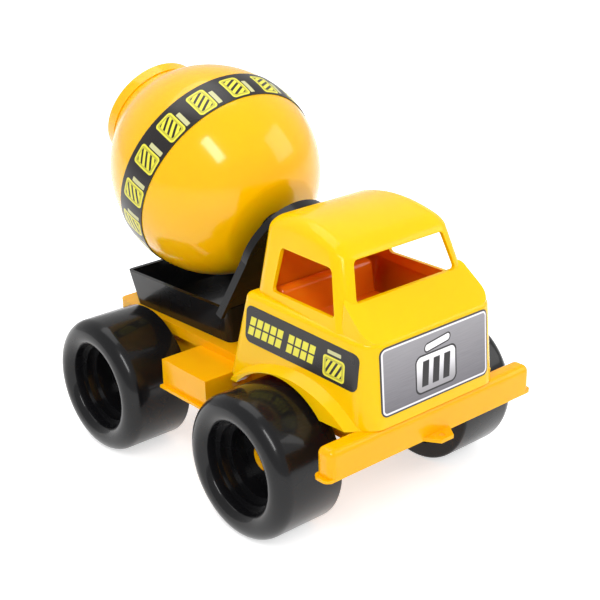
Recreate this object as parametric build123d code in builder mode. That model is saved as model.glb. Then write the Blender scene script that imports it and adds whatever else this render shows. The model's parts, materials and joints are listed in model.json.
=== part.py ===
"""Toy concrete mixer truck: moulded cab and chassis, a turning drum in its cradle, four wide wheels.

The front faces -Y, +Z is up, and the origin is on the floor under the middle of the toy.
All sizes are in millimetres.
"""
from build123d import *
import os
from math import cos, radians, sin, sqrt

# Wheels and axles
wheel_radius = 50.0
wheel_width = 52.0
wheel_gap = 115.0
wheelbase = 164.5
shoulder_radius = 10.7
dish_rim_radius = 31.7
dish_rim_set_back = 4.7
dish_lip_radius = 2.6
dish_step_depth = 14.0
dish_step_radius = 25.0
dish_depth = 26.0
wheel_back_depth = 9.0
wheel_back_rim = 9.0
wheel_hub_radius = 14.0
axle_radius = 3.0
axle_grip = 3.5
cap_radius = 12.0
cap_thickness = 6.0
cap_edge_radius = 2.5

# Clearances
running_gap = 0.05
side_play = 0.5
skin_gap = 0.05

# Chassis moulding
wall = 2.6
bumper_reach = 76.3
bumper_half_width = 92.0
bumper_depth = 14.4
bumper_corner_radius = 5.0
bumper_edge_radius = 5.0
chassis_bottom_z = 66.6
chassis_top_z = 87.6
spine_half_width = 48.0
step_half_width = 88.2
step_front = 54.0
step_length = 50.0
lip_reach = 3.0
lip_thickness = 2.0
deck_top_z = 93.5
deck_rear_reach = 208.0
rail_half_width = 54.3
rail_height = 8.2
ear_thickness = 6.0
ear_radius = 10.0
boss_radius = 8.0
tongue_reach = 10.0
tongue_root_width = 24.0
tongue_tip_width = 11.0
tow_hole_radius = 2.2

# Cab moulding
cab_wall = 2.6
cab_rear = 47.0
cab_front_foot = 76.0
cab_front_brow = 72.5
cab_brow_z = 145.0
cab_belt_z = 150.0
cab_half_width_rear = 65.0
cab_half_width_front = 59.0
cab_corner_radius = 9.0
glass_foot_y = 50.0
glass_foot_z = 161.5
glass_head_y = 41.5
glass_frame = 2.5
glass_half_width_foot = 44.0
glass_half_width_head = 39.0
roof_front_z = 191.0
roof_rear_z = 196.0
roof_crown_z = 206.0
house_foot_z = 140.0
house_half_width_foot = 57.5
house_half_width_front = 52.0
house_half_width_head = 46.0
house_rear = 38.0
side_window_foot_z = 153.5
side_window_head_z = 183.0
side_window_front_foot = 40.5
side_window_rear_foot = 21.0
side_window_rear_head = 18.0
side_window_front_head = 32.5
arch_clearance = 5.0
label_thickness = 0.5
side_label_length = 103.0
side_label_height = 26.0
side_label_corner = 4.0
side_label_slope = 2.5
side_label_y = -13.0
side_label_z = 127.0
front_label_half_width = 48.0
front_label_height = 46.5
front_label_corner = 5.0
front_label_z = 118.0
seat_half_width = 42.0
seat_front = -18.0
seat_rear = 33.0
seat_cushion_z = 130.0
seat_back_z = 158.0
seat_back_thickness = 9.0

# Drum and its cradle
drum_radius = 75.2
drum_setback = 147.6
drum_height = 195.3
drum_tilt = 22.6
drum_wall = 2.2
drum_nose_cut = 66.0
drum_shoulder_t = 30.0
drum_cone_t = 56.0
drum_cone_radius = 56.0
drum_neck_t = 74.0
drum_neck_radius = 42.0
drum_mouth_t = 84.0
drum_mouth_radius = 40.5
band_half_width = 13.0
band_thickness = 0.6
pin_radius = 5.0
pin_head_radius = 9.0
pin_head_thickness = 3.0
tower_gap = 3.0
tower_thickness = 6.0
cradle_wall = 3.0
cradle_base_half_width = 46.4
cradle_rim_half_width = 50.7
cradle_front = 82.0
cradle_rear = 196.0
cradle_rim_overhang = 9.0
cradle_rim_z = 119.6
tower_half_width = 52.0
tower_shoulder_z = 150.0
tower_top_z = 198.0

# Places worked out from the sizes
tilt = radians(drum_tilt)
mouth_rear_reach = drum_setback + drum_mouth_t * cos(tilt) + drum_mouth_radius * sin(tilt)
front_axle_y = -(mouth_rear_reach - bumper_reach - tongue_reach) / 2
rear_axle_y = front_axle_y + wheelbase
wheel_inner_x = wheel_gap / 2
wheel_outer_x = wheel_inner_x + wheel_width
dish_floor_x = wheel_outer_x - dish_depth
bumper_front_y = front_axle_y - bumper_reach
deck_front_y = front_axle_y + cab_rear
deck_rear_y = front_axle_y + deck_rear_reach
drum_centre = Vector(0, front_axle_y + drum_setback, drum_height)
drum_direction = Vector(0, cos(tilt), sin(tilt))
drum_axis = Axis(drum_centre, drum_direction)
drum_profile = Plane(origin=drum_centre, x_dir=drum_direction, z_dir=(1, 0, 0))
arch_radius = wheel_radius + arch_clearance
tower_back_t = -drum_radius - tower_gap

os.makedirs("parts", exist_ok=True)


def save(piece, name):
    """Labels a finished piece and writes it as its own STEP file."""
    piece.part.label = name
    export_step(piece.part, f"parts/{name}.step")


def wheel(side, axle_y):
    """One wide moulded wheel with a deep stepped dish; side is -1 for the truck's right."""
    centre = (0, axle_y, wheel_radius)
    outline = [
        (wheel_inner_x, axle_radius + running_gap),
        (dish_floor_x, axle_radius + running_gap),
        (dish_floor_x, dish_step_radius),
        (wheel_outer_x - dish_step_depth, dish_step_radius),
        (wheel_outer_x - dish_step_depth, dish_rim_radius),
        (wheel_outer_x - dish_rim_set_back, dish_rim_radius),
        (wheel_outer_x, wheel_radius - shoulder_radius - 1),
        (wheel_outer_x, wheel_radius),
        (wheel_inner_x, wheel_radius),
        (wheel_inner_x, wheel_radius - wheel_back_rim - shoulder_radius),
        (wheel_inner_x + wheel_back_depth, wheel_radius - wheel_back_rim - shoulder_radius),
        (wheel_inner_x + wheel_back_depth, wheel_hub_radius),
        (wheel_inner_x, wheel_hub_radius),
    ]
    with BuildPart() as moulding:
        with BuildSketch(Plane(origin=centre, x_dir=(1, 0, 0), z_dir=(0, -1, 0))) as section:
            with BuildLine():
                Polyline([(side * x, r) for x, r in outline], close=True)
            make_face()
            fillet(section.vertices().group_by(Axis.Y)[-1], shoulder_radius)
        revolve(axis=Axis(centre, (1, 0, 0)))
    return moulding


def hub_cap(side, axle_y):
    """The round cap pressed on an axle's end, seen in the middle of the dish."""
    inner_face = dish_floor_x + side_play
    with BuildPart() as cap:
        with BuildSketch(Plane(origin=(side * inner_face, axle_y, wheel_radius), z_dir=(side, 0, 0))):
            Circle(cap_radius)
        extrude(amount=cap_thickness)
        fillet(cap.edges().sort_by(Axis.X)[-1 if side > 0 else 0], cap_edge_radius)
        with BuildSketch(Plane(origin=(side * inner_face, axle_y, wheel_radius), z_dir=(side, 0, 0))):
            Circle(axle_radius + running_gap)
        extrude(amount=axle_grip, mode=Mode.SUBTRACT)
    return cap


def axle(axle_y):
    """A plain steel rod through both wheels, ending inside the caps."""
    half_length = dish_floor_x + side_play + axle_grip
    with BuildPart() as rod:
        with BuildSketch(Plane(origin=(-half_length, axle_y, wheel_radius), z_dir=(1, 0, 0))):
            Circle(axle_radius)
        extrude(amount=2 * half_length)
    return rod


for end, axle_y in (("front", front_axle_y), ("rear", rear_axle_y)):
    save(axle(axle_y), f"axle_{end}")
    for side_name, side in (("left", 1), ("right", -1)):
        save(wheel(side, axle_y), f"wheel_{end}_{side_name}")
        save(hub_cap(side, axle_y), f"hub_cap_{end}_{side_name}")


# Chassis: bumper, steps and spine as one tray open underneath, with the deck, axle ears and tongue
def chassis_plan(inset):
    """Plan outline of the tray, drawn in by the given wall."""
    half_spine = spine_half_width - inset
    y_front = bumper_front_y + inset
    Polygon(
        (-half_spine, y_front), (half_spine, y_front),
        (half_spine, deck_rear_y - inset), (-half_spine, deck_rear_y - inset), align=None,
    )
    with Locations((0, bumper_front_y + bumper_depth / 2)):
        RectangleRounded(2 * (bumper_half_width - inset), bumper_depth - 2 * inset, bumper_corner_radius - inset)
    with Locations((0, front_axle_y + step_front + step_length / 2)):
        Rectangle(2 * (step_half_width - inset), step_length - 2 * inset)


with BuildPart() as chassis:
    with BuildSketch(Plane.XY.offset(chassis_bottom_z)):
        chassis_plan(0)
    extrude(amount=chassis_top_z - chassis_bottom_z)
    front_top = chassis.edges().group_by(Axis.Z)[-1].filter_by(Axis.X).sort_by(Axis.Y)[0]
    fillet(front_top, bumper_edge_radius)
    # raised deck with its rail
    with BuildSketch(Plane.XY.offset(deck_top_z - rail_height)):
        with Locations((0, (deck_front_y + deck_rear_y) / 2)):
            RectangleRounded(2 * rail_half_width, deck_rear_y - deck_front_y, 6)
    extrude(amount=rail_height)
    # hollow underneath
    with BuildSketch(Plane.XY.offset(chassis_bottom_z)):
        chassis_plan(wall)
    extrude(amount=chassis_top_z - chassis_bottom_z - wall, mode=Mode.SUBTRACT)
    # bottom lips of the bumper and the steps
    with BuildSketch(Plane.XY.offset(chassis_bottom_z)):
        with Locations((0, bumper_front_y + bumper_depth / 2)):
            RectangleRounded(2 * (bumper_half_width + lip_reach), bumper_depth, bumper_corner_radius)
        with Locations((0, front_axle_y + step_front + step_length / 2)):
            Rectangle(2 * (step_half_width + lip_reach), step_length)
        chassis_plan(wall + 0)
        with Locations((0, bumper_front_y + bumper_depth / 2)):
            RectangleRounded(2 * (bumper_half_width - wall), bumper_depth - 2 * wall, 2, mode=Mode.SUBTRACT)
        with Locations((0, front_axle_y + step_front + step_length / 2)):
            Rectangle(2 * (step_half_width - wall), step_length - 2 * wall, mode=Mode.SUBTRACT)
        with Locations((0, (bumper_front_y + deck_rear_y) / 2)):
            Rectangle(2 * (spine_half_width - wall), deck_rear_y - bumper_front_y - 2 * wall, mode=Mode.SUBTRACT)
    extrude(amount=lip_thickness)
    # ears that carry the axles, with their bosses
    for axle_y in (front_axle_y, rear_axle_y):
        for side in (1, -1):
            with BuildSketch(Plane(origin=(side * spine_half_width, axle_y, wheel_radius),
                                   x_dir=(0, 1, 0), z_dir=(side, 0, 0))):
                Circle(ear_radius)
                rise = chassis_top_z - wall - wheel_radius
                with Locations((0, side * rise / 2)):
                    Rectangle(2 * ear_radius, rise)
            extrude(amount=-ear_thickness)
            with BuildSketch(Plane(origin=(side * spine_half_width, axle_y, wheel_radius),
                                   x_dir=(0, 1, 0), z_dir=(side, 0, 0))):
                Circle(boss_radius)
            extrude(amount=wheel_inner_x - side_play - spine_half_width)
        with BuildSketch(Plane(origin=(0, axle_y, wheel_radius), z_dir=(1, 0, 0))):
            Circle(axle_radius + running_gap)
        extrude(amount=wheel_inner_x, both=True, mode=Mode.SUBTRACT)
    # tow tongue with its hole
    with BuildSketch(Plane.XY.offset(chassis_bottom_z)):
        Polygon(
            (-tongue_root_width / 2, bumper_front_y + wall), (tongue_root_width / 2, bumper_front_y + wall),
            (tongue_root_width / 2, bumper_front_y),
            (tongue_tip_width / 2, bumper_front_y - tongue_reach),
            (-tongue_tip_width / 2, bumper_front_y - tongue_reach),
            (-tongue_root_width / 2, bumper_front_y), align=None,
        )
        with Locations((0, bumper_front_y - tongue_reach / 2)):
            Circle(tow_hole_radius, mode=Mode.SUBTRACT)
    extrude(amount=wall)
save(chassis, "chassis")


# Cab: one hollow moulding, its lower body and its greenhouse each cut from three views
def lower_body(inset, foot_z):
    """Lower cab block, drawn in by the given wall."""
    front = front_axle_y - cab_front_foot + inset
    brow = front_axle_y - cab_front_brow + inset
    rear = front_axle_y + cab_rear - inset
    with BuildPart() as block:
        with BuildSketch(Plane.YZ):
            Polygon((front, foot_z), (rear, foot_z), (rear, cab_belt_z - inset), (brow, cab_brow_z - inset),
                    align=None)
        extrude(amount=cab_half_width_rear - inset, both=True)
        with BuildSketch(Plane.XY.offset(foot_z)) as plan_view:
            Polygon((-cab_half_width_front + inset, front), (cab_half_width_front - inset, front),
                    (cab_half_width_rear - inset, rear), (-cab_half_width_rear + inset, rear), align=None)
            fillet(plan_view.vertices(), cab_corner_radius - inset)
        extrude(amount=roof_crown_z - foot_z, mode=Mode.INTERSECT)
    return block.part


def greenhouse(inset):
    """Bonnet wedge, raked windscreen and domed roof, drawn in by the given wall."""
    brow = front_axle_y - cab_front_brow + inset
    glass_foot = front_axle_y - glass_foot_y + inset
    glass_head = front_axle_y - glass_head_y + inset
    rear = front_axle_y + house_rear - inset
    with BuildPart() as block:
        with BuildSketch(Plane.YZ):
            with BuildLine():
                Polyline((glass_head, roof_front_z - inset), (glass_foot, glass_foot_z - inset),
                         (brow, cab_brow_z - inset), (brow, house_foot_z), (rear, house_foot_z),
                         (rear, roof_rear_z - inset))
                ThreePointArc((rear, roof_rear_z - inset), (front_axle_y, roof_crown_z - inset),
                              (glass_head, roof_front_z - inset))
            make_face()
        extrude(amount=cab_half_width_rear, both=True)
        with BuildSketch(Plane.XZ.offset(-front_axle_y)):
            Polygon((-house_half_width_foot + inset, house_foot_z), (house_half_width_foot - inset, house_foot_z),
                    (house_half_width_head - inset, roof_crown_z), (-house_half_width_head + inset, roof_crown_z),
                    align=None)
        extrude(amount=2 * cab_front_foot, both=True, mode=Mode.INTERSECT)
        with BuildSketch(Plane.XY.offset(house_foot_z)):
            Polygon((-house_half_width_front + inset, brow), (house_half_width_front - inset, brow),
                    (house_half_width_foot - inset, rear), (-house_half_width_foot + inset, rear), align=None)
        extrude(amount=roof_crown_z - house_foot_z, mode=Mode.INTERSECT)
    return block.part


with BuildPart() as cab:
    add(lower_body(0, chassis_top_z))
    add(greenhouse(0))
    add(lower_body(cab_wall, chassis_top_z), mode=Mode.SUBTRACT)
    add(greenhouse(cab_wall), mode=Mode.SUBTRACT)
    # wheel arches
    with BuildSketch(Plane(origin=(0, front_axle_y, wheel_radius), z_dir=(1, 0, 0))):
        Circle(arch_radius)
    extrude(amount=cab_half_width_rear, both=True, mode=Mode.SUBTRACT)
    # side windows
    with BuildSketch(Plane.YZ.offset(-cab_half_width_rear)):
        Polygon((front_axle_y - side_window_front_foot, side_window_foot_z),
                (front_axle_y + side_window_rear_foot, side_window_foot_z),
                (front_axle_y + side_window_rear_head, side_window_head_z),
                (front_axle_y - side_window_front_head, side_window_head_z), align=None)
    extrude(amount=2 * cab_half_width_rear, mode=Mode.SUBTRACT)
    # windscreen
    with BuildSketch(Plane.XZ.offset(-front_axle_y)):
        Polygon((-glass_half_width_foot, glass_foot_z + glass_frame), (glass_half_width_foot, glass_foot_z + glass_frame),
                (glass_half_width_head, roof_front_z - glass_frame),
                (-glass_half_width_head, roof_front_z - glass_frame), align=None)
    extrude(amount=cab_front_foot, mode=Mode.SUBTRACT)
save(cab, "cab")


def label_skin(outline_plane, draw_outline):
    """A thin label that lies on the lower cab body inside the given outline."""
    with BuildPart() as skin:
        add(lower_body(-skin_gap - label_thickness, chassis_top_z))
        add(lower_body(-skin_gap, chassis_top_z), mode=Mode.SUBTRACT)
        with BuildSketch(outline_plane):
            draw_outline()
        extrude(amount=2 * cab_half_width_rear, mode=Mode.INTERSECT)
    return skin


def side_label_outline():
    """Slanted rounded label under the side window, in the plane across the truck."""
    Rectangle(side_label_length, side_label_height)
    fillet(sketch_corners(), side_label_corner)


def sketch_corners():
    """Corners of the sketch being drawn."""
    return BuildSketch._get_context().vertices()


def front_label_outline():
    """Rounded panel on the cab's front face."""
    Rectangle(2 * front_label_half_width, front_label_height)
    fillet(sketch_corners(), front_label_corner)


for side_name, side in (("left", 1), ("right", -1)):
    label_plane = Plane(origin=(side * house_half_width_head, front_axle_y + side_label_y, side_label_z),
                        x_dir=(0, cos(radians(side_label_slope)), sin(radians(side_label_slope))),
                        z_dir=(side, 0, 0))
    save(label_skin(label_plane, side_label_outline), f"label_side_{side_name}")
front_label_plane = Plane(origin=(0, front_axle_y - glass_foot_y, front_label_z), x_dir=(1, 0, 0), z_dir=(0, -1, 0))
save(label_skin(front_label_plane, front_label_outline), "label_front")

# Seat: a moulded bench on the chassis, seen through the windows
with BuildPart() as cab_seat:
    with BuildSketch(Plane.YZ) as seat_side:
        Polygon((front_axle_y + seat_front, chassis_top_z), (front_axle_y + seat_rear, chassis_top_z),
                (front_axle_y + seat_rear, seat_back_z), (front_axle_y + seat_rear - seat_back_thickness, seat_back_z),
                (front_axle_y + seat_rear - seat_back_thickness - 4, seat_cushion_z),
                (front_axle_y + seat_front, seat_cushion_z), align=None)
    extrude(amount=seat_half_width, both=True)
save(cab_seat, "cab_seat")

# Cradle: flared tray under the drum and the tower that carries its pin
with BuildPart() as cradle:
    with BuildSketch(Plane.XY.offset(deck_top_z)):
        with Locations((0, front_axle_y + (cradle_front + cradle_rear) / 2)):
            Rectangle(2 * cradle_base_half_width, cradle_rear - cradle_front)
    with BuildSketch(Plane.XY.offset(cradle_rim_z)):
        with Locations((0, front_axle_y + (cradle_front + cradle_rear + cradle_rim_overhang) / 2)):
            Rectangle(2 * cradle_rim_half_width, cradle_rear + cradle_rim_overhang - cradle_front)
    loft()
    with BuildSketch(Plane.XY.offset(deck_top_z + cradle_wall)):
        with Locations((0, front_axle_y + (cradle_front + cradle_rear) / 2)):
            Rectangle(2 * (cradle_base_half_width - cradle_wall), cradle_rear - cradle_front - 2 * cradle_wall)
    with BuildSketch(Plane.XY.offset(cradle_rim_z)):
        with Locations((0, front_axle_y + (cradle_front + cradle_rear + cradle_rim_overhang) / 2)):
            Rectangle(2 * (cradle_rim_half_width - cradle_wall),
                      cradle_rear + cradle_rim_overhang - cradle_front - 2 * cradle_wall)
    loft(mode=Mode.SUBTRACT)
with BuildPart() as tower:
    with BuildSketch(Plane.YZ):
        foot_back = front_axle_y + cradle_front + 12
        Polygon(
            (deck_front_y + 1, deck_top_z), (foot_back, deck_top_z),
            (drum_centre.Y + tower_back_t * cos(tilt) + 40 * sin(tilt),
             drum_centre.Z + tower_back_t * sin(tilt) - 40 * cos(tilt)),
            (drum_centre.Y + tower_back_t * cos(tilt) - 44 * sin(tilt),
             drum_centre.Z + tower_back_t * sin(tilt) + 44 * cos(tilt)),
            (deck_front_y + 1, tower_top_z), align=None,
        )
    extrude(amount=tower_half_width, both=True)
    with BuildSketch(Plane.XZ.offset(-front_axle_y)):
        with BuildLine():
            Polyline((-tower_half_width + 4, deck_top_z), (-tower_half_width, tower_shoulder_z))
            ThreePointArc((-tower_half_width, tower_shoulder_z), (0, tower_top_z), (tower_half_width, tower_shoulder_z))
            Polyline((tower_half_width, tower_shoulder_z), (tower_half_width - 4, deck_top_z),
                     (-tower_half_width + 4, deck_top_z))
        make_face()
    extrude(amount=-drum_setback, mode=Mode.INTERSECT)
with BuildPart() as cradle_with_tower:
    add(cradle.part)
    add(tower.part)
    with BuildSketch(Plane(origin=drum_centre + drum_direction * tower_back_t, z_dir=drum_direction)):
        Circle(pin_radius + running_gap)
    extrude(amount=-2 * tower_thickness, mode=Mode.SUBTRACT)
save(cradle_with_tower, "drum_cradle")

# Drum pin: a headed stud from the tower into the drum's nose
with BuildPart() as drum_pin:
    with BuildSketch(Plane(origin=drum_centre + drum_direction * (tower_back_t - 2 * tower_thickness),
                           z_dir=drum_direction)):
        Circle(pin_radius)
    extrude(amount=2 * tower_thickness + tower_gap + drum_radius - drum_nose_cut + drum_wall + 2)
    with BuildSketch(Plane(origin=drum_centre + drum_direction * (-drum_nose_cut + drum_wall + 2),
                           z_dir=drum_direction)):
        Circle(pin_head_radius)
    extrude(amount=pin_head_thickness)
save(drum_pin, "drum_pin")


def drum_shell(inset):
    """Drum profile as points and arcs along the axis, drawn in by the wall."""
    radius = drum_radius - inset
    nose_t = -drum_nose_cut + inset
    nose_radius = sqrt(radius ** 2 - nose_t ** 2)
    shoulder_radius_here = sqrt(radius ** 2 - drum_shoulder_t ** 2)
    ThreePointArc((nose_t, nose_radius), (0, radius), (drum_shoulder_t, shoulder_radius_here))
    Polyline((drum_shoulder_t, shoulder_radius_here), (drum_cone_t, drum_cone_radius - inset),
             (drum_neck_t, drum_neck_radius - inset), (drum_mouth_t, drum_mouth_radius - inset),
             (drum_mouth_t, 0), (nose_t, 0), (nose_t, nose_radius))


def drum_half(front):
    """One moulded half of the drum, cut at its widest ring."""
    with BuildPart() as half:
        with BuildSketch(drum_profile):
            with BuildLine():
                drum_shell(0)
            make_face()
        revolve(axis=drum_axis)
        with BuildSketch(drum_profile):
            with BuildLine():
                drum_shell(drum_wall)
            make_face()
        revolve(axis=drum_axis, mode=Mode.SUBTRACT)
        with BuildSketch(Plane(origin=drum_centre, z_dir=drum_direction)):
            Circle(2 * drum_radius)
        extrude(amount=2 * drum_radius if front else -2 * drum_radius, mode=Mode.SUBTRACT)
        if front:
            with BuildSketch(Plane(origin=drum_centre, z_dir=drum_direction)):
                Circle(pin_radius + running_gap)
            extrude(amount=-2 * drum_radius, mode=Mode.SUBTRACT)
    return half


save(drum_half(True), "drum_front")
save(drum_half(False), "drum_rear")

with BuildPart() as drum_band:
    with BuildSketch(drum_profile):
        inner = drum_radius + skin_gap
        outer = inner + band_thickness
        with BuildLine():
            ThreePointArc((-band_half_width, sqrt(inner ** 2 - band_half_width ** 2)), (0, inner),
                          (band_half_width, sqrt(inner ** 2 - band_half_width ** 2)))
            Polyline((band_half_width, sqrt(inner ** 2 - band_half_width ** 2)),
                     (band_half_width, sqrt(outer ** 2 - band_half_width ** 2)))
            ThreePointArc((band_half_width, sqrt(outer ** 2 - band_half_width ** 2)), (0, outer),
                          (-band_half_width, sqrt(outer ** 2 - band_half_width ** 2)))
            Polyline((-band_half_width, sqrt(outer ** 2 - band_half_width ** 2)),
                     (-band_half_width, sqrt(inner ** 2 - band_half_width ** 2)))
        make_face()
    revolve(axis=drum_axis)
save(drum_band, "drum_band")
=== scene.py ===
"""Looks of a toy concrete mixer truck: close moulded forms, glossy plastics, printed films and a studio.

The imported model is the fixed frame, in metres: +Z is up and the truck's front faces -Y. The forms made here
are drawn in millimetres with y from the front axle, and are put in the frame when they are done.
"""
import json
import logging
import math
from dataclasses import dataclass
from enum import Enum

import bmesh
import bpy
from mathutils import Matrix, Quaternion, Vector

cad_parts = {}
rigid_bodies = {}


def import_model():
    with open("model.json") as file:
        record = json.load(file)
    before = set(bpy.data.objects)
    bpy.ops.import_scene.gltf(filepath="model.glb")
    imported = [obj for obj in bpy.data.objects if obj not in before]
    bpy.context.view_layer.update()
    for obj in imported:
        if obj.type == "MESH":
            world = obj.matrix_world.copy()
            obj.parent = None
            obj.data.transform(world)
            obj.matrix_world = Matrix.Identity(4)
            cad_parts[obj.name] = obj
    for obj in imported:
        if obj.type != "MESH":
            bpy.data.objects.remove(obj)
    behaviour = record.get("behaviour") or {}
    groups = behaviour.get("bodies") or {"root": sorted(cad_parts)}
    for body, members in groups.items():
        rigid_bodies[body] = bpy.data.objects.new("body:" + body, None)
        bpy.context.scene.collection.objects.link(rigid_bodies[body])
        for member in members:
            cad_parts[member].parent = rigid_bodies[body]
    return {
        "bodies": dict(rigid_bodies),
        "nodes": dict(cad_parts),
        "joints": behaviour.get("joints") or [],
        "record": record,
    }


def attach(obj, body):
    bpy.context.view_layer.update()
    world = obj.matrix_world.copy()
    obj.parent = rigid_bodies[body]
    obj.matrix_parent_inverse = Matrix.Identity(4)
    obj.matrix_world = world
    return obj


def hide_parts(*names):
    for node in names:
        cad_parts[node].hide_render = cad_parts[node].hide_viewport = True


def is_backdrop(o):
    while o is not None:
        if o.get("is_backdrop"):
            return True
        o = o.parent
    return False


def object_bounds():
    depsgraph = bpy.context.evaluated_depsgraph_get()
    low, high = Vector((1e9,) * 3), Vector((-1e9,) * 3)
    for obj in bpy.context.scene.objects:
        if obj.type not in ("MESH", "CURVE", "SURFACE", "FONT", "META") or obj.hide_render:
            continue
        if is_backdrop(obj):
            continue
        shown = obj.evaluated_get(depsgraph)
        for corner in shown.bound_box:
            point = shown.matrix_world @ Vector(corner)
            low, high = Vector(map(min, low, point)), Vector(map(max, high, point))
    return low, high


LOG = logging.getLogger("mixer_truck")
MM = 0.001
FULL_TURN = 2 * math.pi

Colour = tuple[float, float, float, float]
WHITE: Colour = (1.0, 1.0, 1.0, 1.0)
BLACK: Colour = (0.0, 0.0, 0.0, 1.0)


class Side(Enum):
    """The truck's two sides, with the sign of X that each one lies on."""

    LEFT = 1
    RIGHT = -1


class End(Enum):
    """The truck's two axles."""

    FRONT = "front"
    REAR = "rear"


class Merge(Enum):
    """What a second solid does to a first one."""

    JOIN = "UNION"
    CUT = "DIFFERENCE"
    SHARE = "INTERSECT"


def screen_colour(red: int, green: int, blue: int) -> Colour:
    """Linear colour of a screen colour.

    Args:
        red: red from 0 to 255.
        green: green from 0 to 255.
        blue: blue from 0 to 255.

    Returns:
        Linear red, green and blue, and an alpha of one.
    """
    def linear(level: int) -> float:
        """Linear value of one channel."""
        share = level / 255
        return share / 12.92 if share <= 0.04045 else ((share + 0.055) / 1.055) ** 2.4

    return linear(red), linear(green), linear(blue), 1.0


class Wire:
    """An output of a shader node that takes part in Python arithmetic."""

    def __init__(self, graph: "Graph", socket: bpy.types.NodeSocket) -> None:
        """Wraps one socket of a graph."""
        self.graph = graph
        self.socket = socket

    def _maths(self, operation: str, *values: "Feed") -> "Wire":
        """Adds one Math node and returns its result."""
        return self.graph.node("ShaderNodeMath", {"operation": operation}, dict(enumerate(values)))

    def __add__(self, other: "Feed") -> "Wire":
        """Sum."""
        return self._maths("ADD", self, other)

    __radd__ = __add__

    def __mul__(self, other: "Feed") -> "Wire":
        """Product."""
        return self._maths("MULTIPLY", self, other)

    __rmul__ = __mul__

    def __sub__(self, other: "Feed") -> "Wire":
        """Difference."""
        return self._maths("SUBTRACT", self, other)

    def __rsub__(self, other: "Feed") -> "Wire":
        """Difference from a number."""
        return self._maths("SUBTRACT", other, self)

    def __truediv__(self, other: "Feed") -> "Wire":
        """Quotient."""
        return self._maths("DIVIDE", self, other)

    def size(self) -> "Wire":
        """Absolute value."""
        return self._maths("ABSOLUTE", self)

    def root(self) -> "Wire":
        """Square root."""
        return self._maths("SQRT", self)

    def larger(self, other: "Feed") -> "Wire":
        """The larger of two values."""
        return self._maths("MAXIMUM", self, other)

    def angle_to(self, other: "Wire") -> "Wire":
        """Angle whose tangent is this value over the other."""
        return self._maths("ARCTAN2", self, other)

    def repeat(self, pitch: float) -> "Wire":
        """Distance from the middle of the nearest cell in a row of equal cells."""
        return self._maths("WRAP", self, pitch / 2, -pitch / 2)

    def falling(self, edge: float, softness: float) -> "Wire":
        """One below an edge and zero above it, over a soft step."""
        return self.graph.ramp_between(self, edge + softness, edge - softness)

    def rising(self, edge: float, softness: float) -> "Wire":
        """Zero below an edge and one above it, over a soft step."""
        return self.graph.ramp_between(self, edge - softness, edge + softness)


Feed = float | int | tuple | Wire
Feeds = dict[int | str, Feed]


class Graph:
    """A node graph, of a material or of the world."""

    patch_softness = 0.12 * MM

    def __init__(self, tree: bpy.types.NodeTree) -> None:
        """Starts with an empty graph."""
        self.tree = tree
        tree.nodes.clear()

    def node(self, kind: str, settings: dict[str, object], feeds: Feeds, output: int | str = 0) -> Wire:
        """Adds a node of any type.

        Args:
            kind: the node's type.
            settings: its settings, which are set first.
            feeds: a value or a wire for each input, by name or by number.
            output: the output that is returned.

        Returns:
            The chosen output.
        """
        made = self.tree.nodes.new(kind)
        for name, value in settings.items():
            setattr(made, name, value)
        for key, feed in feeds.items():
            if isinstance(feed, Wire):
                self.tree.links.new(feed.socket, made.inputs[key])
            else:
                made.inputs[key].default_value = feed
        return Wire(self, made.outputs[output])

    def end(self, kind: str, shader: Wire) -> None:
        """Leads a shader into the graph's output node."""
        ends = self.tree.nodes.new(kind)
        self.tree.links.new(shader.socket, ends.inputs["Surface"])

    def ramp_between(self, value: Wire, start: float, stop: float) -> Wire:
        """A smooth step of a value, from zero at start to one at stop."""
        return self.node("ShaderNodeMapRange", {"interpolation_type": "SMOOTHSTEP", "clamp": True},
                         {"Value": value, "From Min": start, "From Max": stop})

    def place(self) -> Wire:
        """Object coordinates, in metres."""
        return self.node("ShaderNodeTexCoord", {}, {}, "Object")

    def along(self, place: Wire, direction: Vector, origin: Vector) -> Wire:
        """Distance of a place along a direction, from an origin."""
        measured = self.node("ShaderNodeVectorMath", {"operation": "DOT_PRODUCT"},
                             {0: place, 1: tuple(direction)}, "Value")
        return measured - origin.dot(direction)

    def noise(self, place: Wire, scale: float, detail: float = 2.0) -> Wire:
        """Soft noise around a half."""
        return self.node("ShaderNodeTexNoise", {}, {"Vector": place, "Scale": scale, "Detail": detail})

    def mix(self, share: Feed, first: Feed, second: Feed) -> Wire:
        """Mixes two colours by a share of the second."""
        return self.node("ShaderNodeMix", {"data_type": "RGBA"}, {0: share, 6: first, 7: second}, 2)

    def bump(self, height: Wire, depth: float) -> Wire:
        """Normal bent by a height from zero to one, where one stands for a depth in metres."""
        return self.node("ShaderNodeBump", {}, {"Height": height, "Distance": depth})

    def ray(self, kind: str) -> Wire:
        """One for the rays of a kind, such as those from the camera."""
        return self.node("ShaderNodeLightPath", {}, {}, kind)

    def rounded_patch(self, across: Wire, up: Wire, half_width: float, half_height: float,
                      corner: float) -> Wire:
        """One inside a rounded rectangle and zero outside it.

        Args:
            across: distance from its middle, across.
            up: distance from its middle, upwards.
            half_width: half its width.
            half_height: half its height.
            corner: radius of its corners.

        Returns:
            The patch, with a soft edge.
        """
        over = (across.size() - (half_width - corner)).larger(0)
        above = (up.size() - (half_height - corner)).larger(0)
        return (over * over + above * above).root().falling(corner, self.patch_softness)


class Surface(Graph):
    """The graph of one material."""

    def __init__(self, name: str) -> None:
        """Starts a new material.

        Args:
            name: the material's name.
        """
        self.material = bpy.data.materials.new(name)
        self.material.use_nodes = True
        super().__init__(self.material.node_tree)

    def finished(self, feeds: Feeds) -> bpy.types.Material:
        """Ends the graph with a Principled surface and returns the material."""
        self.end("ShaderNodeOutputMaterial", self.node("ShaderNodeBsdfPrincipled", {}, feeds))
        return self.material


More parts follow.
